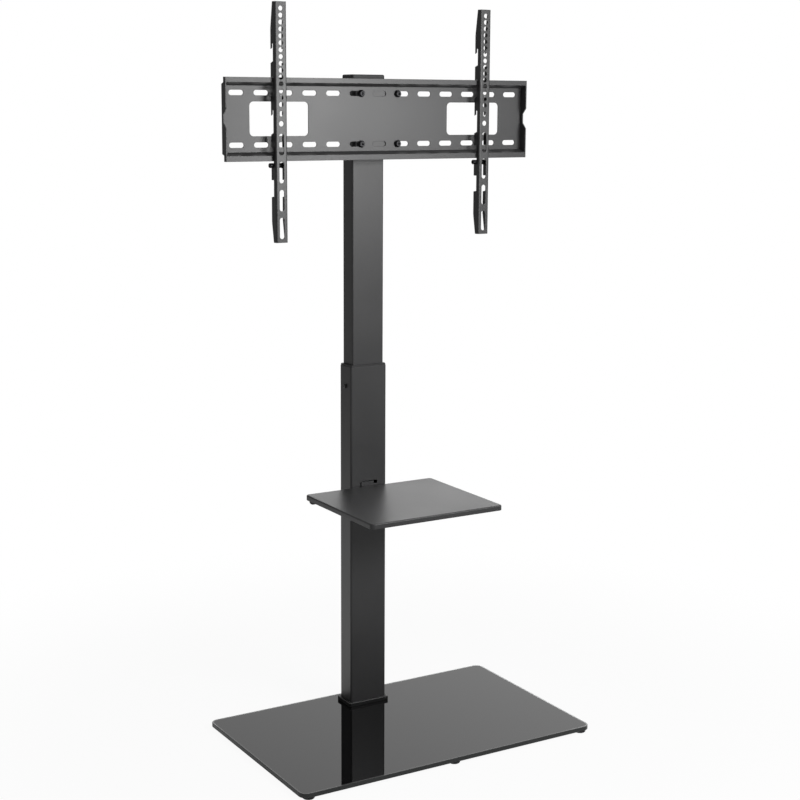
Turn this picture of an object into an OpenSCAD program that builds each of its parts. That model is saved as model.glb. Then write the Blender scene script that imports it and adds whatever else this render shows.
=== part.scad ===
// Floor stand for a television: a glass base on feet, a column in two telescoping
// tubes, a small shelf, a slotted mounting plate and two hook-on arms.
// Millimetres, z = 0 is the floor, the front faces -Y, the origin is under the base centre.

/* [Base] */
// Width of the glass base
base_w = 645; // [560:5:760]
// Depth of the glass base
base_d = 402; // [370:2:460]
// Thickness of the glass
glass_t = 8.5; // [6:0.5:12]
// Radius of the base corners, seen from above
base_corner_r = 16; // [8:1:40]
// Chamfer ground along the edges of the glass
glass_bevel = 0.6; // [0.3:0.1:1.5]
// Height of the glass above the floor
foot_h = 5; // [5:0.5:12]
// Diameter of a foot
foot_d = 23.5; // [18:0.5:23]
// Distance from the ends of the base to the outer feet
foot_inset_x = 18.3; // [12:0.1:60]
// Distance from the front and back edges to the feet
foot_inset_y = 12; // [12:0.5:60]
// Distance from the middle of the front edge to the third front foot
mid_foot_x = 7; // [-20:1:20]
// Thickness of the steel discs bonded under the glass
disc_t = 1.5; // [1:0.1:2.5]
// Width of the steel plate under the column
under_w = 150; // [120:5:200]
// Depth of the steel plate under the column
under_d = 92; // [80:2:104]
// Thickness of the steel plate under the column
under_t = 3; // [3:0.1:3.5]
// Thickness of the rubber sheets on both faces of the glass
gasket_t = 1; // [0.5:0.1:1]

/* [Lower column] */
// Distance from the back edge of the base forward to the axis of the column
column_inset = 52; // [48:1:95]
// Width of the lower tube
lower_w = 81; // [76:1:90]
// Depth of the lower tube
lower_d = 45; // [44:0.5:56]
// Outer corner radius of the lower tube
lower_r = 4; // [3:0.5:6]
// Wall of the lower tube
lower_wall = 1.5; // [1.2:0.1:2]
// Height of the top of the lower tube above the floor
lower_top = 715.5; // [680.5:5:750.5]
// Width of the foot plate welded to the lower tube beyond the tube, each side
flange_edge = 2.5; // [1:0.5:4]
// Thickness of the foot plate welded to the lower tube
flange_t = 5; // [4:0.5:8]
// Height of the collar that hides the foot plate
collar_h = 8; // [7:0.5:14]
// Wall of the collar outside the foot plate
collar_wall = 2.5; // [1.5:0.5:4]
// Height of the rear cable hole above the glass
cable_hole_rise = 90; // [60:5:160]
// Length of the cable holes
cable_hole_len = 52; // [40:2:80]
// Width of the cable holes
cable_hole_w = 22; // [16:1:26]
// Wall of the cable grommets
grommet_wall = 2; // [1.5:0.5:3]

/* [Upper column] */
// Width of the upper tube
upper_w = 70; // [66:0.5:70.5]
// Depth of the upper tube
upper_d = 38.5; // [34:0.5:39]
// Outer corner radius of the upper tube
upper_r = 3; // [2.5:0.5:5]
// Wall of the upper tube
upper_wall = 1.5; // [1.2:0.1:2]
// Distance from the middle between the rows of slots up to the top of the upper tube
mast_rise = 80.8; // [76:0.2:95]
// Height of the bottom of the upper tube above the floor
upper_bottom = 542.5; // [540.5:2:570.5]
// Length of the bushing inside the lower tube
bushing_len = 70; // [60:2:72]
// Height of the bushing rim on top of the lower tube
bushing_rim = 4; // [2:0.5:8]
// Distance from the top of the lower tube down to the height screws
height_screw_drop = 39.5; // [24:0.5:56]
// Width across the head of a height screw
height_head_d = 9; // [8:0.5:12]
// Height of the head of a height screw
height_head_h = 3.2; // [2:0.2:5]
// Distance from the upper column's cable hole up to the lower edge of the mounting plate
mast_hole_drop = 50; // [45:1:70]
// Overhang of the top cap around the upper tube
cap_wall = 1.5; // [1.2:0.1:3]
// Height of the skirt of the top cap
cap_skirt = 10; // [6:1:20]
// Thickness of the crown of the top cap
cap_crown = 2.6; // [2:0.1:4]

/* [Mounting plate] */
// Width of the mounting plate
plate_w = 658.5; // [640:0.5:720]
// Height of the mounting plate
plate_h = 151.1; // [146:0.1:160]
// Height of the middle between the rows of slots above the floor
plate_z = 1199.7; // [1190.7:0.5:1210.7]
// Distance that the slots sit above the middle of the plate
slot_lift = 0.9; // [0:0.1:2]
// Thickness of the mounting plate
plate_t = 2; // [1.5:0.1:2.5]
// Distance from the upper tube forward to the back of the plate
plate_standoff = 40.75; // [36:0.25:60]
// Distance that the rails stand in front of the plate
rail_depth = 18.5; // [16:0.5:20]
// Height of the upper rail's lip
top_lip = 9.2; // [7:0.1:10]
// Height of the slope behind the upper lip
top_slope = 5.6; // [4:0.1:7]
// Height of the lower rail's lip
bottom_lip = 10.2; // [8:0.1:12]
// Height of the slope behind the lower lip
bottom_slope = 5.8; // [4:0.1:7]
// Depth of the plate's end flanges beside the lips
end_lip_d = 9.5; // [7:0.5:12]
// Depth of the reliefs in the plate's end flanges
end_notch = 10.5; // [8:0.5:12]
// Distance between neighbouring slots
slot_pitch = 50; // [46:1:52]
// Number of slots in a row
slot_count = 13; // [9:2:13]
// Length of a slot
slot_len = 29.5; // [20:0.5:34]
// Width of a slot
slot_w = 9.6; // [8.5:0.1:11]
// Distance between the two rows of slots
slot_rows = 94.4; // [88:0.2:100]
// Width of a window
window_w = 121; // [80:1:130]
// Height of a window
window_h = 62.5; // [40:0.5:70]
// Corner radius of a window
window_r = 8; // [4:1:16]
// Distance from the middle of the plate to the middle of a window
window_x = 213; // [200:1:220]

/* [Head bracket] */
// Margin of the bracket's face plate beyond the plate bolts, left and right
face_edge_x = 8; // [7:0.5:14]
// Margin of the bracket's face plate beyond the plate bolts, above and below
face_edge_z = 11.5; // [8:0.5:12]
// Thickness of the bracket's face plate
face_t = 4; // [3:0.5:5]
// Width of the channel between the face plate and the upper tube
channel_w = 60; // [50:1:60]
// Thickness of the channel's sheet
channel_t = 3; // [2:0.5:4]
// Distance of the plate bolts from the inner ends of their slots, toward the ends of the plate
plate_bolt_shift = 0; // [0:0.5:3]
// Distance between the two bolts through the upper tube
mast_bolt_gap = 50; // [36:1:70]

/* [Arms] */
// Distance from the middle of the plate to an arm
arm_x = 222.7; // [120:0.1:290]
// Width of an arm
arm_w = 24; // [22:0.5:27]
// Depth of an arm's side walls
arm_d = 18.5; // [18:0.5:20]
// Sheet thickness of an arm
arm_t = 1.6; // [1.5:0.1:2.5]
// Outer bend radius of an arm
arm_bend = 3; // [2.6:0.1:4]
// Length of an arm
arm_len = 434.5; // [430:0.5:470]
// Height of an arm above the upper rail it hangs on
arm_rise = 134.3; // [130:0.1:150]
// Play of the plate's rails in front of the lips, inside an arm's slots
rail_play = 0.7; // [0.4:0.1:1.2]
// Thickness of a hook's hanging tip
hook_side = 4.5; // [3.5:0.1:5.5]
// Length of the taper at the top of an arm
taper_top = 50; // [30:1:70]
// Length of the taper at the bottom of an arm
taper_bottom = 40; // [20:1:60]
// Depth of an arm's side walls at its top end
tip_top = 10.5; // [8:0.5:14]
// Depth of an arm's side walls at its bottom end
tip_bottom = 11; // [8:0.5:14]
// Distance between the three hooks of an arm
hook_pitch = 59.5; // [58:0.5:61]
// Diameter of the holes in an arm
arm_hole_d = 9; // [8.4:0.1:9.4]
// Distance between the holes in an arm
arm_hole_pitch = 12.2; // [11.5:0.05:12.5]
// Number of holes in the upper row of an arm
arm_hole_count = 15; // [8:1:15]
// Length of the slots in an arm
arm_slot_len = 39.2; // [30:0.2:42]
// Width of the slots in an arm
arm_slot_w = 9.6; // [8.5:0.1:10.5]
// Distance between the slots in an arm
arm_slot_pitch = 51; // [47:0.5:51]

/* [Shelf] */
// Width of the shelf
shelf_w = 290; // [240:5:380]
// Depth of the shelf
shelf_d = 262; // [230:2:300]
// Height of the shelf's top above the floor
shelf_z = 472.8; // [430.8:1:474.8]
// Height of the shelf's folded edges
shelf_edge = 10; // [8:0.5:14]
// Height of the shelf's folded rear flange
shelf_rear = 19.5; // [16:0.5:26]
// Sheet thickness of the shelf
shelf_t = 1.5; // [1.2:0.1:2]
// Corner radius of the shelf, seen from above
shelf_r = 8; // [6:1:30]
// Bend radius along the shelf's edges
shelf_bend = 2.5; // [2:0.1:4]
// Sheet thickness of the shelf bracket
bracket_t = 3; // [2:0.5:3.5]
// Length of the shelf bracket's arms
bracket_len = 190; // [150:5:210]
// Height of the shelf bracket at the column
bracket_h = 62; // [56:1:80]
// Width of the shelf bracket between its outer faces
bracket_w = 56; // [52:1:60]
// Distance from the shelf's top down to the two screws in the column
shelf_screw_drop = 52; // [46:1:56]
// Width of the hook that hangs the shelf on the column
hook_w = 28; // [24:1:34]
// Distance of that hook from the middle of the shelf, to the left
hook_left = 4; // [0:0.5:6]

/* [Fasteners] */
// Diameter of the heavy bolts
bolt_d = 8; // [6:1:8]
// Diameter of the light screws
screw_d = 6; // [5:0.5:6]
// Height of a safety screw's knob beside its arm
knob_len = 7; // [5:0.5:9]

/* [Clearances] */
// Gap between pieces that slide or turn on each other
run_gap = 0.3; // [0.2:0.05:0.4]
// Gap around pieces pressed or screwed together
fit_gap = 0.1; // [0.05:0.05:0.15]
// Gap around a bolt in a plain hole
bolt_gap = 0.4; // [0.3:0.05:0.6]
// Radial gap between a turning screw and its thread
thread_gap = 0.06; // [0.03:0.01:0.1]

/* [Hidden] */
$fn = 48;
over = 1;                                      // how far a cut runs past a face
column_y = base_d/2 - column_inset;             // axis of the column
glass_top = foot_h + glass_t;
under_z = foot_h - gasket_t - under_t;         // underside of the plate under the glass
column_foot = glass_top + gasket_t;            // underside of the welded foot plate
tube_foot = column_foot + flange_t;            // lower end of the lower tube
column_front = column_y - lower_d/2;
mast_front = column_y - upper_d/2;
mast_back = column_y + upper_d/2;
plate_face = mast_front - plate_standoff - plate_t;   // front of the slotted plate
rail_front = plate_face - rail_depth;
plate_top = plate_z - slot_lift + plate_h/2;
plate_bottom = plate_z - slot_lift - plate_h/2;
upper_top = plate_z + mast_rise;
hook_slot = rail_play + plate_t + 2.5;         // width of the slot that takes the rail
hook_in = arm_d - hook_side - hook_slot;       // depth left of the arm in front of a rail
arm_front = rail_front - rail_play - hook_in;
slot_top_z = plate_z + slot_rows/2;
slot_low_z = plate_z - slot_rows/2;
slot_mid = floor(slot_count/2);
bolt_r = bolt_d/2;
screw_r = screw_d/2;
washer_r = 0.875*bolt_d;
washer_t = 1.5;
nut_r = 0.92*bolt_d;                           // across corners, halved
nut_h = 0.8*bolt_d;
base_bolt_x = 50;
base_bolt_y = 22;
sink_r = 0.95*screw_d;                         // countersunk heads under the base
sink_h = 0.45*screw_d;
flange_r = 1.5;                                // corners of the welded foot plate
sheet_gap = 0.3;                               // between the shelf's tray and its bracket
height_z = lower_top - height_screw_drop;
insert_r = screw_r + 1.6;
lower_in_w = lower_w - 2*lower_wall;
lower_in_d = lower_d - 2*lower_wall;
upper_in_w = upper_w - 2*upper_wall;
upper_in_d = upper_d - 2*upper_wall;
glide_t = 6;
glide_spigot = 20;
duct_w = 58;                                   // clear way through the glide
duct_d = 26;
rear_hole_z = glass_top + cable_hole_rise;
mast_hole_z = plate_bottom - mast_hole_drop;
hook_open = 31;                                // opening below a hook
lower_open = 30;                               // opening around the lower rail
lower_drop = 126;                              // from a hook's seat down to that opening
safety_z = plate_bottom - 7.8;
safety_y = rail_front + 3;
safety_r = 4.5;
nut_len = 0.8*screw_d;                         // nuts of the safety screws
arm_eye_drop = 199.5;                          // narrow eye and round eye above the slots
arm_ring_drop = 217.5;
arm_slot_drop = 254.9;
arm_hole_drop = 12;
shelf_back = column_front - bracket_t;         // the tray's rear flange touches the bracket
tab_z = shelf_z + 9;                           // top of the hook in the column
shelf_screw_z = shelf_z - shelf_screw_drop;
shelf_screw_x = 34;
tray_screw_ys = [40, 150];
lip_w = 14;
plate_bolt_x = slot_pitch - (slot_len - slot_w)/2 + plate_bolt_shift;
face_w = 2*(plate_bolt_x + face_edge_x);
face_h = slot_rows + 2*face_edge_z;
end_bend = 4;                                  // outer bend between the plate and its end flanges

steel_black = "#2c2c2e";
steel_dark = "#232325";
rubber_black = "#161617";
plastic_black = "#1c1c1e";
glass_black = "#0c0c0e";
zinc_dark = "#3a3a3d";

// Flat shapes

module round_rect(w, d, r) {
    square([w - 2*r, d], center = true);
    square([w, d - 2*r], center = true);
    for (x = [-1, 1], y = [-1, 1])
        translate([x*(w/2 - r), y*(d/2 - r)])
            circle(r);
}

module pill(len, w) {
    square([len - w, w], center = true);
    for (s = [-1, 1])
        translate([s*(len - w)/2, 0])
            circle(w/2);
}

// Solids

// Plate whose edge section is the child: x runs from the corner's centre out to r
module edged_plate(w, d, h, r) {
    translate([r - w/2, r - d/2, 0])
        cube([w - 2*r, d - 2*r, h]);
    for (i = [0:3]) {
        run = i % 2 == 0 ? d - 2*r : w - 2*r;
        out = (i % 2 == 0 ? w : d)/2 - r;
        rotate(90*i)
            translate([out, run/2, 0]) {
                rotate([90, 0, 0])
                    linear_extrude(run)
                        children();
                rotate_extrude(angle = 90)
                    children();
            }
    }
}

module box_tube(w, d, wall, r, h) {
    linear_extrude(h)
        difference() {
            round_rect(w, d, r);
            round_rect(w - 2*wall, d - 2*wall, r - wall);
        }
}

module ring(r_out, r_in, h) {
    difference() {
        cylinder(r = r_out, h = h);
        translate([0, 0, -over])
            cylinder(r = r_in, h = h + 2*over);
    }
}

// Button-headed bolt: the head stands on z = 0 and the shank goes down
module bolt(r, len) {
    difference() {
        union() {
            cylinder(r = 1.6*r, h = 0.5*r);
            translate([0, 0, 0.5*r])
                cylinder(r1 = 1.6*r, r2 = 1.15*r, h = 0.6*r);
            translate([0, 0, -len])
                cylinder(r = r, h = len + over/2);
        }
        translate([0, 0, 0.3*r])
            cylinder(r = 0.62*r, h = r, $fn = 6);
    }
}

module hex_nut(r, h, bore) {
    difference() {
        cylinder(r = r, h = h, $fn = 6);
        translate([0, 0, -over])
            cylinder(r = bore, h = h + 2*over);
    }
}

// Slot cut through the wall at y, long side along z
module cable_cut(y, z, grow) {
    translate([0, y + 2*over, z])
        rotate([90, 90, 0])
            linear_extrude(2*over + lower_wall + 2*over)
                pill(cable_hole_len + 2*grow, cable_hole_w + 2*grow);
}

module grommet(y_out, wall) {
    rotate([90, 90, 0])
        translate([0, 0, -y_out]) {
            linear_extrude(wall + run_gap)
                difference() {
                    pill(cable_hole_len - 2*fit_gap, cable_hole_w - 2*fit_gap);
                    pill(cable_hole_len - 2*grommet_wall, cable_hole_w - 2*grommet_wall);
                }
            for (z = [-1.6, wall + run_gap/2])
                translate([0, 0, z])
                    linear_extrude(1.6)
                        difference() {
                            pill(cable_hole_len + 5, cable_hole_w + 5);
                            pill(cable_hole_len - 2*grommet_wall, cable_hole_w - 2*grommet_wall);
                        }
        }
}

// Places

module at_base_bolts() {
    for (x = [-1, 1], y = [-1, 1])
        translate([x*base_bolt_x/2, column_y + y*base_bolt_y/2, 0])
            children();
}

module at_glass_feet() {
    for (x = [-1, 1], y = [-1, 1])
        translate([x*(base_w/2 - foot_inset_x), y*(base_d/2 - foot_inset_y), 0])
            children();
    translate([mid_foot_x, foot_inset_y - base_d/2, 0])
        children();
}

module at_plate_bolts(y) {
    for (x = [-1, 1], z = [slot_low_z, slot_top_z])
        translate([x*plate_bolt_x, y, z])
            rotate([90, 0, 0])
                children();
}

// Base

module base_glass() {
    c = glass_bevel;
    r = base_corner_r;
    color(glass_black)
        difference() {
            translate([0, 0, foot_h])
                edged_plate(base_w, base_d, glass_t, r)
                    polygon([[0, 0], [r - c, 0], [r, c], [r, glass_t - c], [r - c, glass_t], [0, glass_t]]);
            at_base_bolts()
                translate([0, 0, foot_h - over])
                    cylinder(r = screw_r + 2 + fit_gap, h = glass_t + 2*over);
        }
}

module foot_discs() {
    color(zinc_dark)
        at_glass_feet()
            translate([0, 0, foot_h - disc_t])
                cylinder(r = foot_d/2 - 3, h = disc_t);
}

// Flat rubber foot, narrower at the floor, with a pocket for its disc
module foot() {
    r = foot_d/2;
    difference() {
        rotate_extrude()
            polygon([[0, 0], [r - 2, 0], [r - 0.7, 1.2], [r, foot_h - 1], [r, foot_h], [0, foot_h]]);
        translate([0, 0, foot_h - disc_t])
            cylinder(r = r - 3 + fit_gap, h = disc_t + over);
    }
}

module base_feet() {
    color(rubber_black)
        at_glass_feet()
            foot();
}

module gasket(w, d, z) {
    translate([0, column_y, z])
        linear_extrude(gasket_t)
            difference() {
                round_rect(w, d, flange_r);
                for (x = [-1, 1], y = [-1, 1])
                    translate([x*base_bolt_x/2, y*base_bolt_y/2])
                        circle(screw_r + bolt_gap);
            }
}

module glass_gaskets() {
    color(rubber_black) {
        gasket(lower_w + 2*flange_edge, lower_d + 2*flange_edge, glass_top);
        gasket(under_w, under_d, foot_h - gasket_t);
    }
}

module glass_sleeves() {
    color(plastic_black)
        at_base_bolts()
            translate([0, 0, foot_h])
                ring(screw_r + 2, screw_r + bolt_gap/2, glass_t);
}

module under_plate() {
    color(steel_dark)
        difference() {
            translate([0, column_y, under_z])
                linear_extrude(under_t)
                    round_rect(under_w, under_d, 8);
            at_base_bolts()
                translate([0, 0, under_z]) {
                    translate([0, 0, -over])
                        cylinder(r = screw_r + bolt_gap, h = under_t + 2*over);
                    cylinder(r1 = sink_r + fit_gap, r2 = screw_r + fit_gap, h = sink_h);
                }
        }
}

module base_bolts() {
    len = tube_foot - under_z - 0.5;
    color(zinc_dark)
        at_base_bolts()
            translate([0, 0, under_z])
                difference() {
                    union() {
                        cylinder(r1 = sink_r, r2 = screw_r, h = sink_h);
                        cylinder(r = screw_r, h = len);
                    }
                    translate([0, 0, -over])
                        cylinder(r = 0.7*screw_r, h = 2 + over, $fn = 6);
                }
}

module base_collar() {
    w = lower_w + 2*(flange_edge + collar_wall);
    d = lower_d + 2*(flange_edge + collar_wall);
    r = flange_r + collar_wall;
    cut = 0.8;
    color(plastic_black)
        translate([0, column_y, glass_top])
            difference() {
                edged_plate(w, d, collar_h, r)
                    polygon([[0, 0], [r, 0], [r, collar_h - cut], [r - cut, collar_h], [0, collar_h]]);
                translate([0, 0, -over])
                    linear_extrude(collar_h + 2*over)
                        round_rect(lower_w + 2*fit_gap, lower_d + 2*fit_gap, lower_r + fit_gap);
                translate([0, 0, -over])
                    linear_extrude(over + gasket_t + flange_t + fit_gap)
                        round_rect(lower_w + 2*(flange_edge + fit_gap), lower_d + 2*(flange_edge + fit_gap),
                            flange_r + fit_gap);
            }
}

// Lower column

// Tapped plate under the lower tube
module foot_plate() {
    color(steel_black)
        difference() {
            translate([0, column_y, column_foot])
                linear_extrude(flange_t)
                    round_rect(lower_w + 2*flange_edge, lower_d + 2*flange_edge, flange_r);
            at_base_bolts()
                translate([0, 0, column_foot - over])
                    cylinder(r = screw_r + thread_gap, h = flange_t + 2*over);
        }
}

module lower_column() {
    color(steel_black)
        difference() {
            translate([0, column_y, tube_foot])
                box_tube(lower_w, lower_d, lower_wall, lower_r, lower_top - tube_foot);
            cable_cut(column_y + lower_d/2, rear_hole_z, 0);
            for (s = [-1, 1])
                translate([s*(lower_w/2 + over), column_y, height_z])
                    rotate([0, -90*s, 0])
                        cylinder(r = insert_r + fit_gap, h = lower_wall + 2*over);
            for (s = [-1, 1])
                translate([s*shelf_screw_x/2, column_front - over, shelf_screw_z])
                    rotate([-90, 0, 0])
                        cylinder(r = screw_r + 1.5 + fit_gap, h = lower_wall + 2*over);
            // slot for the shelf's hook, which leaves its right end open
            translate([6.5 - hook_left, column_front - over, tab_z - 2.5])
                rotate([-90, 0, 0])
                    linear_extrude(lower_wall + 2*over)
                        round_rect(hook_w + 7, 7, 1.5);
        }
}

module rear_grommet() {
    color(rubber_black)
        translate([0, 0, rear_hole_z])
            grommet(column_y + lower_d/2, lower_wall);
}

// Plastic liner: its rim lies on the lower tube and its bore guides the upper tube
module column_bushing() {
    bore_w = upper_w + 2*run_gap;
    bore_d = upper_d + 2*run_gap;
    r = lower_r;
    color(plastic_black)
        difference() {
            translate([0, column_y, lower_top]) {
                edged_plate(lower_w - 1, lower_d - 1, bushing_rim, r)
                    polygon([[0, 0], [r, 0], [r, bushing_rim - 1.2], [r - 1.2, bushing_rim], [0, bushing_rim]]);
                translate([0, 0, -bushing_len])
                    linear_extrude(bushing_len + over)
                        round_rect(lower_in_w - 2*fit_gap, lower_in_d - 2*fit_gap, lower_r - lower_wall);
            }
            translate([0, column_y, lower_top - bushing_len - over])
                linear_extrude(bushing_len + bushing_rim + 2*over)
                    round_rect(bore_w, bore_d, upper_r + run_gap);
            for (s = [-1, 1])
                translate([s*(upper_w/2 - over), column_y, height_z])
                    rotate([0, 90*s, 0])
                        cylinder(r = insert_r + 2*fit_gap, h = lower_w/2);
        }
}

// Threaded inserts in the side walls of the lower tube
module height_inserts() {
    color(zinc_dark)
        for (s = [-1, 1])
            translate([s*lower_w/2, column_y, height_z])
                rotate([0, -90*s, 0])
                    ring(insert_r, screw_r + thread_gap, (lower_w - upper_w)/2 - run_gap - 0.9);
}

// Height screw: a low head beside the lower tube, the tip just short of the upper tube
module height_screw(side) {
    r = height_head_d/2;
    len = (lower_w - upper_w)/2 - run_gap;
    color(zinc_dark)
        translate([side*lower_w/2, column_y, height_z])
            rotate([0, -90*side, 0])
                difference() {
                    union() {
                        cylinder(r = screw_r, h = len);
                        translate([0, 0, -run_gap - height_head_h]) {
                            cylinder(r1 = r - 0.6, r2 = r, h = 0.6);
                            translate([0, 0, 0.6])
                                cylinder(r = r, h = height_head_h - 0.6);
                        }
                        translate([0, 0, -run_gap - over/2])
                            cylinder(r = screw_r, h = over);
                    }
                    translate([0, 0, -run_gap - height_head_h - over])
                        cylinder(r = 0.6*screw_r, h = 0.6*height_head_h + over, $fn = 6);
                }
}

// Shelf

// Bent edge of the tray: the sheet turns down through a rounded bend
module bend_section(r, h) {
    square([r - shelf_bend, h]);
    square([r, h - shelf_bend]);
    translate([r - shelf_bend, h - shelf_bend])
        circle(shelf_bend);
}

module shelf_tray() {
    mid_y = shelf_back - shelf_d/2;
    notch_w = bracket_w + 2*lip_w + 4;
    color(steel_black) {
        difference() {
            union() {
                translate([0, mid_y, shelf_z - shelf_edge])
                    edged_plate(shelf_w, shelf_d, shelf_edge, shelf_r)
                        bend_section(shelf_r, shelf_edge);
                // deeper flange along the back, with rounded lower corners
                translate([0, shelf_back, shelf_z - shelf_rear/2 - shelf_bend/2])
                    rotate([90, 0, 0])
                        linear_extrude(shelf_t)
                            round_rect(shelf_w - 3*shelf_r, shelf_rear - shelf_bend, 5);
            }
            translate([0, mid_y, shelf_z - shelf_edge - over])
                linear_extrude(shelf_edge - shelf_t + over)
                    round_rect(shelf_w - 2*shelf_t, shelf_d - 2*shelf_t, shelf_r - shelf_t);
            // the bracket passes through the back
            translate([-notch_w/2, shelf_back - shelf_t - over, shelf_z - shelf_rear - over])
                cube([notch_w, shelf_t + 2*over, shelf_rear - shelf_t + over]);
        }
        // welded studs
        for (s = [-1, 1], y = tray_screw_ys)
            translate([s*(bracket_w + lip_w)/2, shelf_back - y, shelf_z - shelf_t - 11])
                cylinder(r = screw_r - 0.5, h = 11.5);
    }
}

// Folded bracket: back plate, two tapering arms, outward lips and a hook into the column
module shelf_bracket() {
    z_top = shelf_z - shelf_t - sheet_gap;
    drop = bracket_h - shelf_t;
    color(steel_dark)
        difference() {
            union() {
                // back plate
                translate([-bracket_w/2, shelf_back, shelf_z - bracket_h])
                    cube([bracket_w, bracket_t, bracket_h - shelf_t - sheet_gap]);
                // hook: its plate in front of the column, a narrower tongue and the tip inside
                translate([-hook_left - hook_w/2, shelf_back, z_top - over])
                    cube([hook_w, bracket_t, tab_z - z_top + over]);
                translate([4 - hook_left - hook_w/2, shelf_back, tab_z - bracket_t])
                    cube([hook_w - 8, 2*bracket_t + lower_wall + run_gap, bracket_t]);
                translate([4 - hook_left - hook_w/2, column_front + lower_wall + run_gap, tab_z - 6])
                    cube([hook_w - 8, bracket_t, 6]);
                for (s = [-1, 1]) {
                    // tapering arm
                    translate([s*(bracket_w/2 - bracket_t/2) - bracket_t/2, shelf_back + bracket_t, z_top])
                        rotate([90, 0, 90])
                            linear_extrude(bracket_t)
                                difference() {
                                    polygon([[0, 0], [0, -drop], [-20, -drop], [-bracket_len, -14],
                                        [-bracket_len, 0]]);
                                    translate([-0.27*bracket_len, -0.3*drop])
                                        pill(0.2*bracket_len, 0.23*drop);
                                    translate([-0.59*bracket_len, -0.23*drop])
                                        pill(0.18*bracket_len, 0.16*drop);
                                }
                    // outward lip
                    translate([s*(bracket_w/2 + lip_w/2 - over/2), shelf_back - bracket_len/2 + bracket_t - 4,
                            z_top - bracket_t/2])
                        cube([lip_w + over, bracket_len - 8, bracket_t], center = true);
                }
            }
            for (s = [-1, 1], y = tray_screw_ys)
                translate([s*(bracket_w + lip_w)/2, shelf_back - y, z_top - bracket_t - over])
                    cylinder(r = screw_r - 0.5 + bolt_gap, h = bracket_t + 2*over);
            for (s = [-1, 1])
                translate([s*shelf_screw_x/2, shelf_back - over, shelf_screw_z])
                    rotate([-90, 0, 0])
                        cylinder(r = screw_r + bolt_gap, h = bracket_t + 2*over);
        }
}

module shelf_screws() {
    color(zinc_dark)
        for (s = [-1, 1])
            translate([s*shelf_screw_x/2, shelf_back, shelf_screw_z])
                rotate([90, 0, 0])
                    bolt(screw_r, bracket_t + lower_wall + 8);
}

module shelf_inserts() {
    color(zinc_dark)
        for (s = [-1, 1])
            translate([s*shelf_screw_x/2, column_front, shelf_screw_z])
                rotate([-90, 0, 0]) {
                    ring(screw_r + 1.5, screw_r + thread_gap, lower_wall + 7);
                    translate([0, 0, lower_wall])
                        ring(screw_r + 2.6, screw_r + thread_gap, 2.2);
                }
}

module tray_nuts() {
    r = screw_r - 0.5;
    color(zinc_dark)
        for (s = [-1, 1], y = tray_screw_ys)
            translate([s*(bracket_w + lip_w)/2, shelf_back - y,
                    shelf_z - shelf_t - sheet_gap - bracket_t - 1.6*r])
                hex_nut(1.85*r, 1.6*r, r + thread_gap);
}

// Upper column

module upper_column() {
    color(steel_black)
        difference() {
            translate([0, column_y, upper_bottom])
                box_tube(upper_w, upper_d, upper_wall, upper_r, upper_top - upper_bottom);
            cable_cut(mast_back, mast_hole_z, 0);
            for (s = [-1, 1])
                translate([0, mast_back + over, plate_z + s*mast_bolt_gap/2])
                    rotate([90, 0, 0])
                        cylinder(r = bolt_r + bolt_gap, h = upper_d + 2*over);
        }
}

// Plastic foot of the upper tube, which slides inside the lower tube
module column_glide() {
    color(plastic_black)
        translate([0, column_y, upper_bottom - glide_t])
            difference() {
                union() {
                    linear_extrude(glide_t)
                        round_rect(lower_in_w - 2*run_gap, lower_in_d - 2*run_gap, lower_r - lower_wall);
                    linear_extrude(glide_t + glide_spigot)
                        round_rect(upper_in_w - 2*fit_gap, upper_in_d - 2*fit_gap, upper_r - upper_wall);
                }
                translate([0, 0, -over])
                    linear_extrude(glide_t + glide_spigot + 2*over)
                        round_rect(duct_w, duct_d, 4);
            }
}

module top_cap() {
    w = upper_w + 2*cap_wall;
    d = upper_d + 2*cap_wall;
    r = upper_r + cap_wall;
    h = cap_skirt + cap_crown;
    cut = 2;
    color(plastic_black)
        translate([0, column_y, upper_top - cap_skirt])
            difference() {
                edged_plate(w, d, h, r)
                    polygon([[0, 0], [r, 0], [r, h - cut], [r - cut, h], [0, h]]);
                translate([0, 0, -over])
                    linear_extrude(cap_skirt + over)
                        round_rect(upper_w + 2*fit_gap, upper_d + 2*fit_gap, upper_r + fit_gap);
            }
}

module mast_grommet() {
    color(rubber_black)
        translate([0, 0, mast_hole_z])
            grommet(mast_back, upper_wall);
}

// Head

module head_bracket() {
    back = plate_face + plate_t;
    depth = mast_front - back;
    color(steel_dark)
        difference() {
            union() {
                translate([0, back + face_t, plate_z])
                    rotate([90, 0, 0])
                        linear_extrude(face_t)
                            round_rect(face_w, face_h, 6);
                // channel, open at the front, its web on the upper tube
                translate([0, 0, plate_z - face_h/2 + 8])
                    linear_extrude(face_h - 16)
                        difference() {
                            translate([0, back + depth/2 + face_t/4])
                                round_rect(channel_w, depth - face_t/2, 4);
                            translate([0, back + depth/2 - channel_t])
                                round_rect(channel_w - 2*channel_t, depth, 3);
                        }
            }
            at_plate_bolts(back + face_t + over)
                cylinder(r = bolt_r + bolt_gap, h = face_t + 2*over);
            // ways for a wrench, in line with the bolts through the tube
            for (s = [-1, 1])
                translate([0, back + face_t + over, plate_z + s*mast_bolt_gap/2])
                    rotate([90, 0, 0])
                        cylinder(r = nut_r + 2.5, h = face_t + 2*over);
            for (s = [-1, 1])
                translate([0, mast_front + over, plate_z + s*mast_bolt_gap/2])
                    rotate([90, 0, 0])
                        cylinder(r = bolt_r + bolt_gap, h = channel_t + 2*over);
        }
}

module mast_bolts() {
    color(zinc_dark)
        for (s = [-1, 1])
            translate([0, mast_back, plate_z + s*mast_bolt_gap/2])
                rotate([-90, 0, 0])
                    bolt(bolt_r, upper_d + channel_t + nut_h + 3);
}

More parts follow.
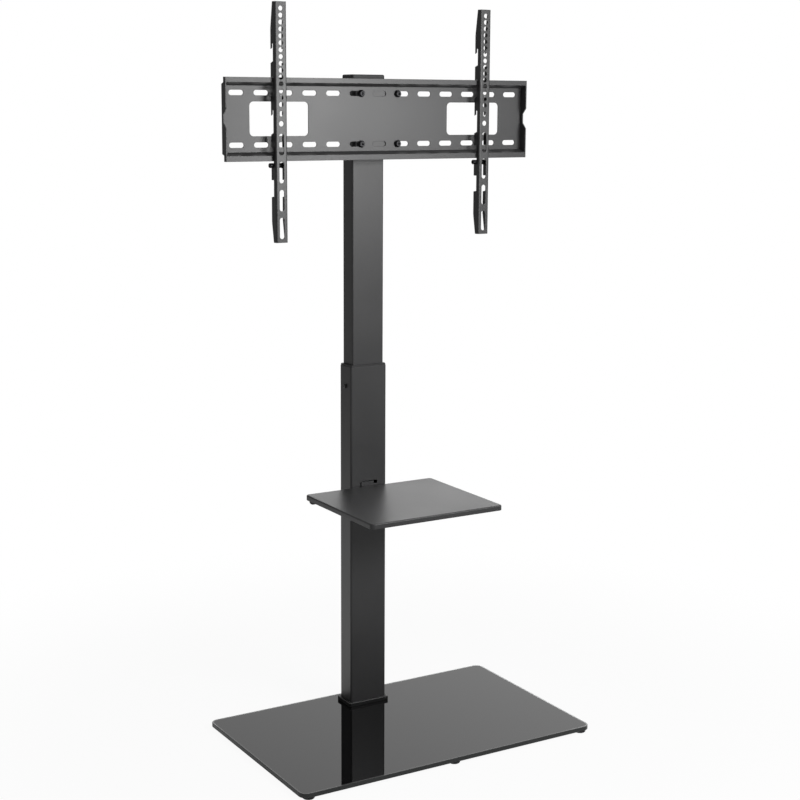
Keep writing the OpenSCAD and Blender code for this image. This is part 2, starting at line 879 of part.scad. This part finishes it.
module mast_nuts() {
    color(zinc_dark)
        for (s = [-1, 1])
            translate([0, mast_front - channel_t, plate_z + s*mast_bolt_gap/2])
                rotate([90, 0, 0])
                    hex_nut(nut_r, nut_h, bolt_r + thread_gap);
}

// The sheet's section, y against z: lips in front of the face, joined by slopes
module plate_section() {
    top = plate_top - top_lip;
    low = plate_bottom + bottom_lip;
    up = plate_t*tan((90 - atan2(top_slope, rail_depth))/2);
    down = plate_t*tan((90 - atan2(bottom_slope, rail_depth))/2);
    polygon([
        [rail_front, plate_top],
        [rail_front, top],
        [plate_face, top - top_slope],
        [plate_face, low + bottom_slope],
        [rail_front, low],
        [rail_front, plate_bottom],
        [rail_front + plate_t, plate_bottom],
        [rail_front + plate_t, low - down],
        [plate_face + plate_t, low + bottom_slope - down],
        [plate_face + plate_t, top - top_slope + up],
        [rail_front + plate_t, top + up],
        [rail_front + plate_t, plate_top]]);
}

// End flange: deeper between the lips, with a trapezoid relief in its front edge
module plate_end() {
    mid = plate_z + 0.5;
    lip = rail_front + end_lip_d;
    back = plate_face + plate_t;
    linear_extrude(plate_t)
        polygon([
            [rail_front, plate_bottom],
            [rail_front, mid - 19.5],
            [rail_front + end_notch, mid - 9],
            [rail_front + end_notch, mid + 9],
            [rail_front, mid + 19.5],
            [rail_front, plate_top],
            [lip, plate_top],
            [lip, plate_top - top_lip - 0.5],
            [back - end_bend, plate_top - top_lip - 3],
            [back, plate_top - top_lip - 3.5],
            [back, plate_bottom + bottom_lip + 4.5],
            [back - end_bend, plate_bottom + bottom_lip + 4],
            [lip, plate_bottom + bottom_lip + 0.5],
            [lip, plate_bottom]]);
}

module mount_plate() {
    color(steel_black)
        difference() {
            union() {
                translate([-plate_w/2, 0, 0])
                    rotate([90, 0, 90])
                        linear_extrude(plate_w)
                            plate_section();
                for (x = [-plate_w/2, plate_w/2 - plate_t])
                    translate([x, 0, 0])
                        rotate([90, 0, 90])
                            plate_end();
            }
            // rounded bends at the back
            for (s = [-1, 1])
                translate([s*(plate_w/2 - end_bend), plate_face + plate_t - end_bend, plate_bottom - over])
                    linear_extrude(plate_h + 2*over)
                        difference() {
                            translate([s > 0 ? 0 : -end_bend - over, 0])
                                square(end_bend + over);
                            circle(end_bend);
                        }
            translate([0, plate_face + plate_t + over, 0])
                rotate([90, 0, 0])
                    linear_extrude(plate_t + 2*over) {
                        for (i = [-slot_mid:slot_mid], z = [slot_low_z, slot_top_z])
                            translate([i*slot_pitch, z])
                                pill(slot_len, slot_w);
                        for (s = [-1, 1])
                            translate([s*window_x, plate_z])
                                round_rect(window_w, window_h, window_r);
                    }
        }
}

module plate_bolts() {
    color(zinc_dark)
        at_plate_bolts(plate_face - washer_t)
            bolt(bolt_r, washer_t + plate_t + face_t + nut_h + 2);
}

module plate_washers() {
    color(zinc_dark)
        at_plate_bolts(plate_face)
            ring(washer_r, bolt_r + bolt_gap, washer_t);
}

module plate_nuts() {
    color(zinc_dark)
        at_plate_bolts(plate_face + plate_t + face_t + nut_h)
            rotate(30)
                hex_nut(nut_r, nut_h, bolt_r + thread_gap);
}

// Arms, drawn with the web's front at y = 0 and z = 0 at the seat of the middle hook

// Cut for one hook: a slot that takes the rail's lip and an opening under the tip
module hook_cut(seat, drop) {
    polygon([
        [hook_in, seat + run_gap],
        [hook_in + hook_slot, seat + run_gap],
        [hook_in + hook_slot, seat - 6.8],
        [arm_d + over, seat - 9.4],
        [arm_d + over, seat - drop - 3.6],
        [arm_d, seat - drop - 3.2],
        [hook_in + 0.5, seat - drop],
        [hook_in, seat - drop]]);
}

module rail_cut(z) {
    polygon([
        [hook_in, z],
        [arm_d + over, z],
        [arm_d + over, z - lower_open - 1.8],
        [arm_d, z - lower_open - 1.5],
        [hook_in + 1, z - lower_open],
        [hook_in, z - lower_open]]);
}

module arm_side() {
    top = arm_rise;
    bottom = arm_rise - arm_len;
    difference() {
        polygon([
            [0, bottom],
            [0, top],
            [tip_top, top],
            [arm_d, top - taper_top],
            [arm_d, bottom + taper_bottom],
            [tip_bottom, bottom]]);
        hook_cut(hook_pitch, hook_open);
        hook_cut(0, hook_open);
        hook_cut(-hook_pitch, hook_open + 9.5);
        rail_cut(-lower_drop);
        rail_cut(-lower_drop - hook_pitch);
    }
}

module arm() {
    color(steel_black)
        difference() {
            intersection() {
                translate([0, 0, arm_rise - arm_len])
                    linear_extrude(arm_len)
                        difference() {
                            translate([0, arm_d/2 + over])
                                round_rect(arm_w, arm_d + 2*over, arm_bend);
                            translate([0, arm_d/2 + arm_t + 2*over])
                                round_rect(arm_w - 2*arm_t, arm_d + 4*over, arm_bend - arm_t);
                        }
                translate([-arm_w/2 - over, 0, 0])
                    rotate([90, 0, 90])
                        linear_extrude(arm_w + 2*over)
                            arm_side();
            }
            translate([0, arm_t + over, arm_rise])
                rotate([90, 0, 0])
                    linear_extrude(arm_t + 2*over) {
                        for (i = [0:arm_hole_count - 1])
                            translate([0, -arm_hole_drop - i*arm_hole_pitch])
                                circle(arm_hole_d/2);
                        translate([0, -arm_eye_drop])
                            rotate(90)
                                pill(10, 6.5);
                        translate([0, -arm_ring_drop])
                            circle(5);
                        for (i = [0:3])
                            translate([0, -arm_slot_drop - i*arm_slot_pitch])
                                rotate(90)
                                    pill(arm_slot_len, arm_slot_w);
                    }
            translate([-arm_w/2 - over, safety_y - arm_front, safety_z - plate_top])
                rotate([0, 90, 0])
                    cylinder(r = screw_r + thread_gap, h = arm_w + 2*over);
        }
}

module left_arm() {
    translate([-arm_x, arm_front, plate_top])
        arm();
}

module right_arm() {
    translate([arm_x, arm_front, plate_top])
        arm();
}

// Screw under the lower rail: knob outside the arm's left wall, sleeve between the walls
module safety_screw() {
    color(zinc_dark)
        rotate([0, 90, 0])
            difference() {
                union() {
                    translate([0, 0, -arm_w/2 - run_gap - knob_len]) {
                        cylinder(r1 = safety_r - 0.8, r2 = safety_r, h = 0.8);
                        translate([0, 0, 0.8])
                            cylinder(r = safety_r, h = knob_len - 0.8);
                    }
                    translate([0, 0, -arm_w/2 - run_gap - over/2])
                        cylinder(r = screw_r, h = arm_w + run_gap + over);
                    translate([0, 0, arm_t + run_gap - arm_w/2])
                        cylinder(r = safety_r, h = arm_w - 2*arm_t - nut_len - 2*run_gap);
                }
                translate([0, 0, -arm_w/2 - run_gap - knob_len - over])
                    cylinder(r = 2, h = 3 + over, $fn = 6);
            }
}

// Nut welded to the inner face of the arm's right wall
module safety_nut() {
    color(zinc_dark)
        translate([arm_w/2 - arm_t - nut_len, 0, 0])
            rotate([0, 90, 0])
                hex_nut(1.75*screw_r, nut_len, screw_r + thread_gap);
}

module left_safety_screw() {
    translate([-arm_x, safety_y, safety_z])
        safety_screw();
}

module left_safety_nut() {
    translate([-arm_x, safety_y, safety_z])
        safety_nut();
}

module right_safety_screw() {
    translate([arm_x, safety_y, safety_z])
        safety_screw();
}

module right_safety_nut() {
    translate([arm_x, safety_y, safety_z])
        safety_nut();
}

module left_height_screw() {
    height_screw(-1);
}

module right_height_screw() {
    height_screw(1);
}

base_glass();
foot_discs();
base_feet();
glass_gaskets();
glass_sleeves();
under_plate();
base_bolts();
base_collar();
foot_plate();
lower_column();
rear_grommet();
column_bushing();
height_inserts();
left_height_screw();
right_height_screw();
shelf_tray();
shelf_bracket();
shelf_screws();
shelf_inserts();
tray_nuts();
upper_column();
column_glide();
top_cap();
mast_grommet();
head_bracket();
mast_bolts();
mast_nuts();
mount_plate();
plate_bolts();
plate_washers();
plate_nuts();
left_arm();
left_safety_screw();
left_safety_nut();
right_arm();
right_safety_screw();
right_safety_nut();
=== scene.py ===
import math
import bpy
import numpy as np
from mathutils import Matrix, Vector


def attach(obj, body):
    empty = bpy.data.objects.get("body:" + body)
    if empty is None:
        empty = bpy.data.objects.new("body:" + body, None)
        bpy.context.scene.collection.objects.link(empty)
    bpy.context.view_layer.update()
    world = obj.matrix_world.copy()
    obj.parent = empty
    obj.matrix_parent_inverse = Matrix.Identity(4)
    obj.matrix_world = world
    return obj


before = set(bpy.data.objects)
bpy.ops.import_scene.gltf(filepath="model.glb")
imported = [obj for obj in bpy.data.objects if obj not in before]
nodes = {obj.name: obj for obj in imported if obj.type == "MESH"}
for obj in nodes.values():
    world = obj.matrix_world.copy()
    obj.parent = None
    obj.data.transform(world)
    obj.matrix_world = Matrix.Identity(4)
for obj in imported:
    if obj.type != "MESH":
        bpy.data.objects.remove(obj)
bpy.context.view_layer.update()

print("stand loaded:", len(nodes), "CAD nodes")


# Camera, fitted to edges measured in the photograph
viewpoint = {
    "place": (-1.541475, -2.563138, 1.228811),   # metres, in the frame of the CAD
    "yaw": 30.960,                               # degrees from +Y towards +X
    "down": 10.116,
    "roll": 0.278,
    "focal": 1584.70,                            # in pixels of an 800 pixel frame
    "centre": (399.82, 386.12),                  # where the optical axis meets the frame
    "frame": 800,
    "sensor": 36,
    "reach": 60,
}


def aimCamera(spec):
    yaw, down, roll = (math.radians(spec[key]) for key in ("yaw", "down", "roll"))
    ahead = Vector((math.sin(yaw) * math.cos(down), math.cos(yaw) * math.cos(down), -math.sin(down)))
    level = Vector((math.cos(yaw), -math.sin(yaw), 0))
    upright = level.cross(ahead)
    right = level * math.cos(roll) + upright * math.sin(roll)
    up = upright * math.cos(roll) - level * math.sin(roll)
    data = bpy.data.cameras.new("photoCamera")
    data.sensor_fit = "HORIZONTAL"
    data.sensor_width = spec["sensor"]
    data.lens = spec["sensor"] * spec["focal"] / spec["frame"]
    data.shift_x = (spec["frame"] / 2 - spec["centre"][0]) / spec["frame"]
    data.shift_y = (spec["centre"][1] - spec["frame"] / 2) / spec["frame"]
    data.clip_end = spec["reach"]
    camera = bpy.data.objects.new("photoCamera", data)
    bpy.context.scene.collection.objects.link(camera)
    turn = Matrix((right, up, -ahead)).transposed().to_4x4()
    camera.matrix_world = Matrix.Translation(spec["place"]) @ turn
    bpy.context.scene.camera = camera


aimCamera(viewpoint)
bpy.context.scene.view_settings.view_transform = "Standard"

# Level directions of the room, away from the viewpoint and to its right
sweepAhead = (math.sin(math.radians(viewpoint["yaw"])), math.cos(math.radians(viewpoint["yaw"])), 0)
sweepAcross = (sweepAhead[1], -sweepAhead[0], 0)
print("camera placed")


# A socket of a shader node that can be used in plain sums
class Wire:
    def __init__(self, finish, socket):
        self.finish = finish
        self.socket = socket

    def math(self, operation, *others, swap=False):
        terms = list(others) + [self] if swap else [self] + list(others)
        return self.finish.add("ShaderNodeMath", {"operation": operation}, dict(enumerate(terms)))

    def __add__(self, other): return self.math("ADD", other)
    def __radd__(self, other): return self.math("ADD", other, swap=True)
    def __sub__(self, other): return self.math("SUBTRACT", other)
    def __rsub__(self, other): return self.math("SUBTRACT", other, swap=True)
    def __mul__(self, other): return self.math("MULTIPLY", other)

    def spread(self, low, high):                 # 0 below low, 1 above high, smooth between
        return self.finish.add("ShaderNodeMapRange", {"interpolation_type": "SMOOTHSTEP"},
                               {"Value": self, "From Min": low, "From Max": high})


# The nodes of one material, of the world or of a lamp
class Finish:
    def __init__(self, name, owner=None):
        self.material = owner or bpy.data.materials.new(name)
        self.material.use_nodes = True
        self.tree = self.material.node_tree
        self.tree.nodes.clear()
        self.place = None

    def add(self, kind, settings=None, sockets=None, out=0):
        node = self.tree.nodes.new(kind)
        for key, value in (settings or {}).items():
            setattr(node, key, value)
        for key, value in (sockets or {}).items():
            if isinstance(value, Wire):
                self.tree.links.new(value.socket, node.inputs[key])
            else:
                node.inputs[key].default_value = value
        return Wire(self, node.outputs[out]) if node.outputs else node

    def coords(self):                            # the object's own metres
        if self.place is None:
            self.place = self.add("ShaderNodeTexCoord", out="Object")
        return self.place

    def noise(self, scale, detail=2.0, rough=0.5):
        return self.add("ShaderNodeTexNoise", None,
                        {"Vector": self.coords(), "Scale": scale, "Detail": detail, "Roughness": rough})

    def vector(self, operation, *terms, out=0):
        return self.add("ShaderNodeVectorMath", {"operation": operation}, dict(enumerate(terms)), out)

    def reach(self, direction, axis):            # how far a place or direction goes along an axis
        return self.vector("DOT_PRODUCT", direction, axis, out="Value")

    def along(self, axis):
        return self.reach(self.coords(), axis)

    def edges(self, radius):                     # rounded normal, and 0 on flats growing on sharp edges
        soft = self.add("ShaderNodeBevel", {"samples": 4}, {"Radius": radius})
        true = self.add("ShaderNodeNewGeometry", out="True Normal")
        return soft, 1 - self.reach(soft, true)

    def mix(self, factor, under, over):          # each colour is three numbers or a wire
        under, over = (colour if isinstance(colour, Wire) else (*colour, 1) for colour in (under, over))
        return self.add("ShaderNodeMix", {"data_type": "RGBA"}, {"Factor": factor, 6: under, 7: over}, out=2)

    def bump(self, height, spec, normal=None):
        sockets = {"Height": height, "Strength": spec["bump"], "Distance": spec["bumpHeight"]}
        if normal:
            sockets["Normal"] = normal
        return self.add("ShaderNodeBump", None, sockets)

    def done(self, sockets):
        shader = self.add("ShaderNodeBsdfPrincipled", None, sockets)
        self.add("ShaderNodeOutputMaterial", None, {"Surface": shader})
        return self.material


def paint(material, *names):
    for name in names:
        node = nodes[name]
        node.data.materials.clear()
        node.data.materials.append(material)


# Satin powder coat: orange peel, a finer grain, and a thinner, glossier film over the edges, where the colour
# is made paler as a painted highlight
powder = {"dark": (0.031, 0.031, 0.032), "light": (0.044, 0.044, 0.045), "edge": (0.10, 0.10, 0.103),
          "edgeHighlightShare": 0.8, "edgeRadius": 0.0009, "peelScale": 700, "grainScale": 3200, "driftScale": 7,
          "roughness": 0.40, "driftRough": 0.10, "grainRough": 0.08, "edgeRough": 0.06,
          "bump": 0.20, "bumpHeight": 0.00012, "ior": 1.5}


def makePowder(name, spec):
    f = Finish(name)
    peel = f.noise(spec["peelScale"], 3, 0.55)
    grain = f.noise(spec["grainScale"], 1)
    drift = f.noise(spec["driftScale"], 2)
    soft, rim = f.edges(spec["edgeRadius"])
    rim = rim.spread(0.02, 0.35)
    mottle = drift.spread(0.3, 0.7) * 0.5 + grain.spread(0.35, 0.7) * 0.5
    shade = f.mix(mottle, spec["dark"], spec["light"])
    # painted highlight: the edges are made paler, as if they caught the light
    colour = f.mix(rim * spec["edgeHighlightShare"], shade, spec["edge"])
    rough = spec["roughness"] + (drift - 0.5) * spec["driftRough"] + (grain - 0.5) * spec["grainRough"]
    rough = rough - rim * spec["edgeRough"]
    normal = f.bump(peel * 0.7 + grain * 0.3, spec, soft)
    return f.done({"Base Color": colour, "Roughness": rough, "Normal": normal, "IOR": spec["ior"]})


powderCoat = makePowder("powderCoat", powder)
paint(powderCoat, "foot_plate", "lower_column", "upper_column", "mount_plate", "left_arm", "right_arm",
      "shelf_tray", "shelf_bracket", "head_bracket", "under_plate")

# Black tempered glass: polished top, ground edges, a frosted arris around the top that is made far brighter
# on the far edges as a painted highlight, the faintest smears
glass = {"tint": (0.0035, 0.0036, 0.004), "edge": (0.012, 0.014, 0.014), "frostAndHighlight": (0.80, 0.81, 0.81),
         "corner": 0.016, "arris": 0.0045, "nearFrost": 0.12, "farHighlight": 0.75, "farSide": (-0.06, 0.06),
         "smearScale": 9, "dustScale": 1400, "groundScale": 900,
         "gloss": 0.02, "ground": 0.28, "smearRough": 0.015, "dustRough": 0.05,
         "bump": 0.15, "bumpHeight": 0.0001, "ior": 1.52}


def makeGlass(name, spec):
    f = Finish(name)
    upward = f.reach(f.add("ShaderNodeNewGeometry", out="True Normal"), (0, 0, 1))
    ground = 1 - upward.spread(0.55, 0.95)
    smear = f.noise(spec["smearScale"], 4, 0.6).spread(0.45, 0.75)
    dust = f.noise(spec["dustScale"], 1).spread(0.72, 0.80)
    # distance inside a rounded rectangle = length of what lies past its corners' centres - corner radius
    bounds = nodes["base_glass"].bound_box
    centres = [max(corner[axis] for corner in bounds) - spec["corner"] for axis in (0, 1)]
    folded = f.vector("ABSOLUTE", f.coords())
    past = f.vector("MAXIMUM", f.vector("SUBTRACT", folded, (*centres, 1)), (0, 0, 0))
    inside = f.vector("LENGTH", past, out="Value") - spec["corner"]
    # painted highlight: the arris is made much brighter on the edges away from the viewpoint, as if it
    # mirrored the bright room
    far = f.along(sweepAhead).spread(*spec["farSide"])
    frostAndHighlight = inside.spread(-spec["arris"], -spec["arris"] / 2) * (1 - ground)
    frostAndHighlight = frostAndHighlight * (far * spec["farHighlight"] + spec["nearFrost"])
    colour = f.mix(frostAndHighlight, f.mix(ground, spec["tint"], spec["edge"]), spec["frostAndHighlight"])
    rough = spec["gloss"] + (ground + frostAndHighlight) * spec["ground"]
    rough = rough + smear * spec["smearRough"] + dust * spec["dustRough"]
    normal = f.bump(f.noise(spec["groundScale"], 2) * ground, spec)
    return f.done({"Base Color": colour, "Roughness": rough, "Normal": normal, "IOR": spec["ior"]})


paint(makeGlass("blackGlass", glass), "base_glass")

# Moulded plastic with a fine spark texture and a painted highlight on edges that look up
plastic = {"dark": (0.018, 0.018, 0.019), "light": (0.03, 0.03, 0.031), "edge": (0.05, 0.05, 0.051),
           "edgeRadius": 0.0005, "sparkScale": 2600, "driftScale": 14,
           "roughness": 0.5, "sparkRough": 0.2, "edgeRough": 0.1,
           "bump": 0.3, "bumpHeight": 0.00008, "ior": 1.46}


def makePlastic(name, spec):
    f = Finish(name)
    spark = f.noise(spec["sparkScale"], 2, 0.7)
    drift = f.noise(spec["driftScale"], 2)
    soft, rim = f.edges(spec["edgeRadius"])
    # painted highlight: edges that face up are made paler, as if lit from above
    rim = rim.spread(0.02, 0.25) * f.reach(soft, (0, 0, 1)).spread(0.05, 0.35)
    shade = f.mix(spark.spread(0.35, 0.7) * 0.7 + drift * 0.3, spec["dark"], spec["light"])
    colour = f.mix(rim, shade, spec["edge"])
    rough = spec["roughness"] + (spark - 0.5) * spec["sparkRough"] - rim * spec["edgeRough"]
    normal = f.bump(spark, spec, soft)
    return f.done({"Base Color": colour, "Roughness": rough, "Normal": normal, "IOR": spec["ior"]})


paint(makePlastic("mouldedPlastic", plastic), "column_bushing", "column_glide", "top_cap", "glass_sleeves")

# The collar's upper rim carries a bright painted highlight
collar = dict(plastic, dark=(0.006, 0.006, 0.006), light=(0.012, 0.012, 0.012), edge=(0.70, 0.70, 0.71),
              edgeRadius=0.002)
paint(makePlastic("collarPlastic", collar), "base_collar")

# Rubber, matt and a little dusty
rubber = {"dark": (0.012, 0.012, 0.012), "dusty": (0.05, 0.049, 0.047), "dustShare": 0.5,
          "grainScale": 1800, "dustScale": 60, "roughness": 0.78, "grainRough": 0.16, "dustRough": 0.08,
          "bump": 0.35, "bumpHeight": 0.0001}


def makeRubber(name, spec):
    f = Finish(name)
    grain = f.noise(spec["grainScale"], 3, 0.6)
    dust = f.noise(spec["dustScale"], 4, 0.65).spread(0.45, 0.8)
    colour = f.mix(dust * spec["dustShare"], spec["dark"], spec["dusty"])
    rough = spec["roughness"] + (grain - 0.5) * spec["grainRough"] + dust * spec["dustRough"]
    return f.done({"Base Color": colour, "Roughness": rough, "Normal": f.bump(grain, spec)})


paint(makeRubber("mattRubber", rubber), "base_feet", "glass_gaskets", "rear_grommet", "mast_grommet")

# Black zinc on fasteners: dark, metallic, brighter where tools touch
zinc = {"dark": (0.012, 0.012, 0.013), "light": (0.035, 0.035, 0.037), "bare": (0.30, 0.30, 0.31),
        "bareShare": 0.6, "edgeRadius": 0.0004, "mottleScale": 420, "fineScale": 2600, "metallic": 0.85,
        "roughness": 0.42, "mottleRough": 0.22, "fineRough": 0.08, "bump": 0.2, "bumpHeight": 0.00005}


def makeZinc(name, spec):
    f = Finish(name)
    mottle = f.noise(spec["mottleScale"], 4, 0.6)
    fine = f.noise(spec["fineScale"], 1)
    soft, rim = f.edges(spec["edgeRadius"])
    wear = rim.spread(0.05, 0.4) * mottle.spread(0.35, 0.6)
    shade = f.mix(mottle.spread(0.3, 0.7), spec["dark"], spec["light"])
    colour = f.mix(wear * spec["bareShare"], shade, spec["bare"])
    rough = spec["roughness"] + (mottle - 0.5) * spec["mottleRough"] + (fine - 0.5) * spec["fineRough"]
    return f.done({"Base Color": colour, "Metallic": spec["metallic"], "Roughness": rough,
                   "Normal": f.bump(fine, spec, soft)})


paint(makeZinc("blackZinc", zinc), "foot_discs", "base_bolts", "height_inserts", "shelf_screws",
      "shelf_inserts", "tray_nuts", "mast_bolts", "mast_nuts", "plate_bolts", "plate_washers", "plate_nuts",
      "left_safety_screw", "left_safety_nut", "right_safety_screw", "right_safety_nut")

# The height screws are a paler zinc
clampZinc = dict(zinc, dark=(0.07, 0.07, 0.072), light=(0.12, 0.12, 0.123))
paint(makeZinc("clampZinc", clampZinc), "left_height_screw", "right_height_screw")
print("finishes made")

# The shelf's rear flange hangs a little deeper than its solid, in two halves beside the bracket
flange = {"inner": 0.0442, "outer": 0.136, "low": 0.4504, "high": 0.4640, "radius": 0.008,
          "front": 0.12185, "back": 0.12365, "steps": 10}


# Outline of a half: down its inner side, along the foot, round a quarter circle and up its outer side.
# A point of the quarter circle = its centre + radius (sine, -cosine) of an angle from 0 to 90 degrees
def hangFlange(name, spec, side):
    angle = np.linspace(0, math.pi / 2, spec["steps"] + 1)
    roundX = spec["outer"] + spec["radius"] * (np.sin(angle) - 1)
    roundZ = spec["low"] + spec["radius"] * (1 - np.cos(angle))
    x = np.concatenate(([spec["inner"]] * 2, roundX, [spec["outer"]]))
    z = np.concatenate(([spec["high"], spec["low"]], roundZ, [spec["high"]]))
    ring = np.arange(len(x))
    following = np.roll(ring, -1)
    sides = [np.column_stack((x * side, np.full(len(x), y), z)) for y in (spec["front"], spec["back"])]
    walls = np.column_stack((ring, ring + len(x), following + len(x), following))
    faces = [ring.tolist(), (ring + len(x))[::-1].tolist()] + walls.tolist()
    if side < 0:                                 # a mirrored outline turns the other way
        faces = [face[::-1] for face in faces]
    mesh = bpy.data.meshes.new(name)
    mesh.from_pydata(np.concatenate(sides).tolist(), [], faces)
    mesh.materials.append(powderCoat)
    piece = bpy.data.objects.new(name, mesh)
    bpy.context.scene.collection.objects.link(piece)
    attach(piece, "stand")


hangFlange("leftRearFlange", flange, -1)
hangFlange("rightRearFlange", flange, 1)
print("rear flange hung")


# Room: a pale floor that keeps a faint shadow, and a white surround. Glossy rays meet white only on a sweep
# of paper that lies under the stand and rises behind it, with a brighter patch, and a dim studio elsewhere
room = {"floorHalf": 14.0, "floorColour": (0.9, 0.9, 0.9), "paperScale": 160, "bump": 0.05,
        "bumpHeight": 0.0005, "ambient": 0.16, "dim": 0.22,
        "whiteNear": 0.94, "nearRadius": 0.5, "farRadius": 1.4,
        "sweepFront": (-0.2, 0.3), "sweepSide": (1.2, 1.9), "sweepRise": (0.45, 0.85), "leaning": 1.7,
        "patchTowards": (0.59, 0.81, 0), "patchWidth": (0.86, 0.97), "patchTop": (0.22, 0.32), "patch": 1.8,
        "behindCamera": (0.6, 0.95)}
white = (1, 1, 1, 1)


# White as the camera meets it (1) and as a gloss meets it (1 on the sweep, dim elsewhere), 0 for other rays
def seenWhite(f, onSweep, dim):
    eye = f.add("ShaderNodeLightPath", out="Is Camera Ray")
    gloss = Wire(f, eye.socket.node.outputs["Is Glossy Ray"])
    passing = Wire(f, eye.socket.node.outputs["Is Transmission Ray"])
    return eye.math("MAXIMUM", passing).math("MAXIMUM", gloss * (dim + onSweep * (1 - dim)))


# Seen floor = own paint lit by the lamps + white glow, whose share grows to 1 away from the stand
def makeFloor(spec):
    f = Finish("paleFloor")
    paper = f.bump(f.noise(spec["paperScale"], 3), spec)
    matt = f.add("ShaderNodeBsdfDiffuse", None, {"Color": (*spec["floorColour"], 1), "Normal": paper})
    glow = f.add("ShaderNodeEmission", None, {"Color": white, "Strength": 1.0})
    radius = f.vector("LENGTH", f.coords(), out="Value")
    share = spec["whiteNear"] + radius.spread(spec["nearRadius"], spec["farRadius"]) * (1 - spec["whiteNear"])
    aside = f.along(sweepAcross).math("ABSOLUTE")
    onSweep = f.along(sweepAhead).spread(*spec["sweepFront"]) * (1 - aside.spread(*spec["sweepSide"]))
    glowing = seenWhite(f, onSweep, spec["dim"]) * share
    both = f.add("ShaderNodeMixShader", None, {0: glowing, 1: matt, 2: glow})
    f.add("ShaderNodeOutputMaterial", None, {"Surface": both})
    half = spec["floorHalf"]
    corners = [(-half, -half, 0), (half, -half, 0), (half, half, 0), (-half, half, 0)]
    mesh = bpy.data.meshes.new("floor")
    mesh.from_pydata(corners, [], [(0, 1, 2, 3)])
    floor = bpy.data.objects.new("floor", mesh)
    floor.data.materials.append(f.material)
    bpy.context.scene.collection.objects.link(floor)


# A direction's white = the risen paper, brighter to the right and on a patch low behind the stand
def makeWorld(spec):
    world = bpy.data.worlds.new("studio")
    bpy.context.scene.world = world
    f = Finish("studio", world)
    low = 1 - f.along((0, 0, 1)).spread(*spec["patchTop"])
    patch = f.along(spec["patchTowards"]).spread(*spec["patchWidth"]) * low * spec["patch"]
    ahead = f.along(sweepAhead)
    paper = ahead.spread(*spec["sweepRise"]) * (patch + f.along(sweepAcross) * spec["leaning"] + 1)
    dark = 1 - (0 - ahead).spread(*spec["behindCamera"])
    strength = seenWhite(f, paper, dark * spec["dim"]).math("MAXIMUM", spec["ambient"])
    sky = f.add("ShaderNodeBackground", None, {"Color": white, "Strength": strength})
    f.add("ShaderNodeOutputWorld", None, {"Surface": sky})


makeFloor(room)
makeWorld(room)

# Soft boxes: place, what each looks at, width and height, watts. The key fades towards its edges
lamps = {
    "key": {"place": (0.57, -1.5, 1.27), "aim": (0, 0.1, 1.2), "size": (1.125, 0.75), "watts": 44,
            "fade": (0.2, 0.5)},
    "top": {"place": (0.3, -0.4, 2.6), "aim": (0, 0, 0.4), "size": (1.6, 1.6), "watts": 10},
}


# Strength of a lamp = 1 in its middle, 0 at its edges, smooth between, across and up
def fadeEdges(data, fade):
    f = Finish(data.name, data)
    place = f.add("ShaderNodeNewGeometry", out="Parametric")
    off = f.vector("ABSOLUTE", f.vector("SUBTRACT", place, (0.5, 0.5, 0)))
    across, up = (f.reach(off, axis) for axis in ((1, 0, 0), (0, 1, 0)))
    strength = (1 - across.spread(*fade)) * (1 - up.spread(*fade))
    light = f.add("ShaderNodeEmission", None, {"Color": white, "Strength": strength})
    f.add("ShaderNodeOutputLight", None, {"Surface": light})


def hangLamp(name, spec):
    data = bpy.data.lights.new(name, "AREA")
    data.shape = "RECTANGLE"
    data.size, data.size_y = spec["size"]
    data.energy = spec["watts"]
    if "fade" in spec:
        fadeEdges(data, spec["fade"])
    lamp = bpy.data.objects.new(name, data)
    lamp.location = spec["place"]
    aim = Vector(spec["aim"]) - Vector(spec["place"])
    lamp.rotation_euler = aim.to_track_quat("-Z", "Y").to_euler()
    bpy.context.scene.collection.objects.link(lamp)


for lampName, lampSpec in lamps.items():
    hangLamp(lampName, lampSpec)
print("room lit")
